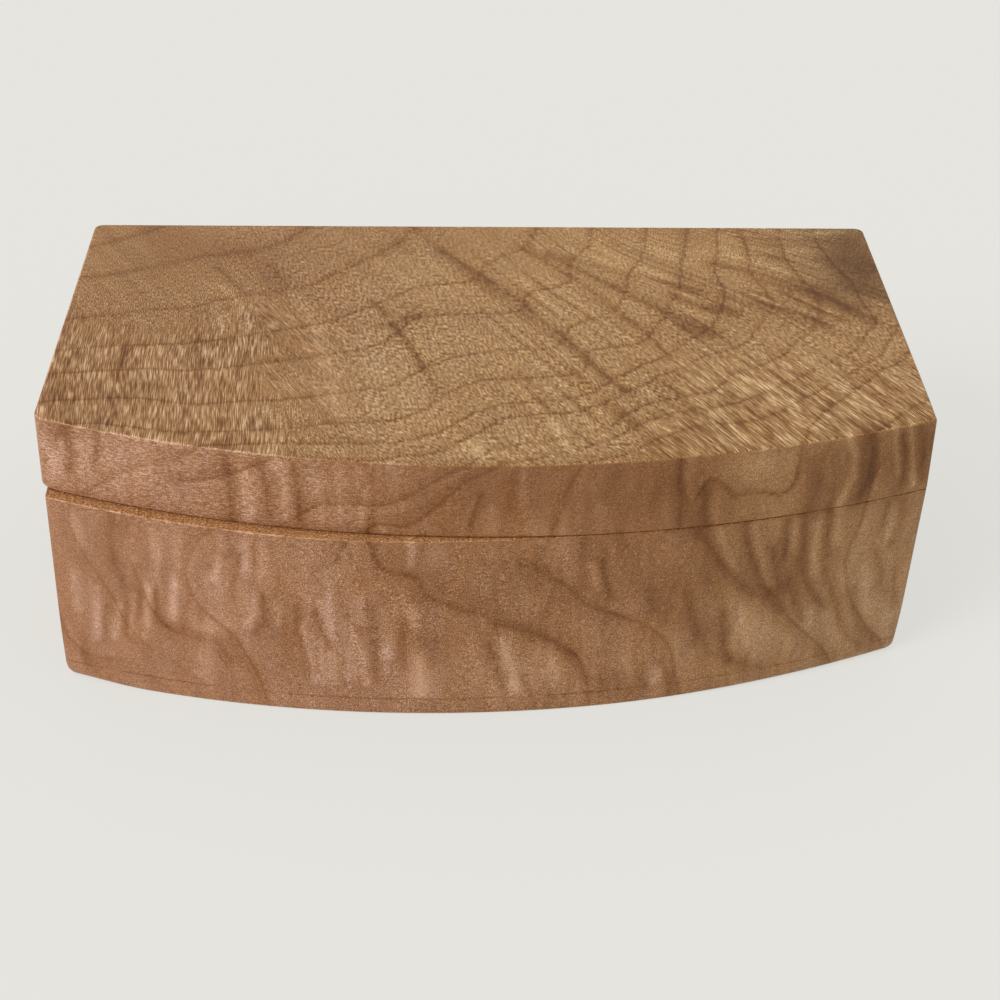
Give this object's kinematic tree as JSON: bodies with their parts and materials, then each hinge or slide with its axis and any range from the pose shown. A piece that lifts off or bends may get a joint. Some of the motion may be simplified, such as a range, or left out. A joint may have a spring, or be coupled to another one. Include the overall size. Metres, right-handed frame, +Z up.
{
  "type": "wooden trinket box",
  "caption": "Bow-fronted trinket box sawn from one block of figured wood, with a solid slab lid on brass butt hinges and a felt-lined well.",
  "frame": {"origin": "middle of the box's footprint, on the flat underside that it stands on", "axes": "+X to the right along the width, +Y to the back where the hinges are, +Z up out of the lid's top"},
  "size_m": [0.18, 0.1078, 0.06],
  "materials": {
    "figured_wood": "satin oil",
    "felt": "matt felt",
    "hinge_brass": "brushed",
    "screw_brass": "satin"
  },
  "bodies": {
    "base": {"base_body": "figured_wood", "base_bottom": "figured_wood", "base_lining": "felt", "hinge_left_base_leaf": "hinge_brass", "hinge_left_pin": "hinge_brass", "hinge_left_base_screw_1": "screw_brass", "hinge_left_base_screw_2": "screw_brass", "hinge_right_base_leaf": "hinge_brass", "hinge_right_pin": "hinge_brass", "hinge_right_base_screw_1": "screw_brass", "hinge_right_base_screw_2": "screw_brass"},
    "lid": {"lid_block": "figured_wood", "hinge_left_lid_leaf": "hinge_brass", "hinge_left_lid_screw_1": "screw_brass", "hinge_left_lid_screw_2": "screw_brass", "hinge_right_lid_leaf": "hinge_brass", "hinge_right_lid_screw_1": "screw_brass", "hinge_right_lid_screw_2": "screw_brass"}
  },
  "joints": [
    {"name": "lid_hinge", "type": "hinge", "parent": "base", "child": "lid", "pos_m": [0, 0.05094, 0.04345], "axis": [-1, 0, 0], "range_deg": [0, 95]}
  ]
}
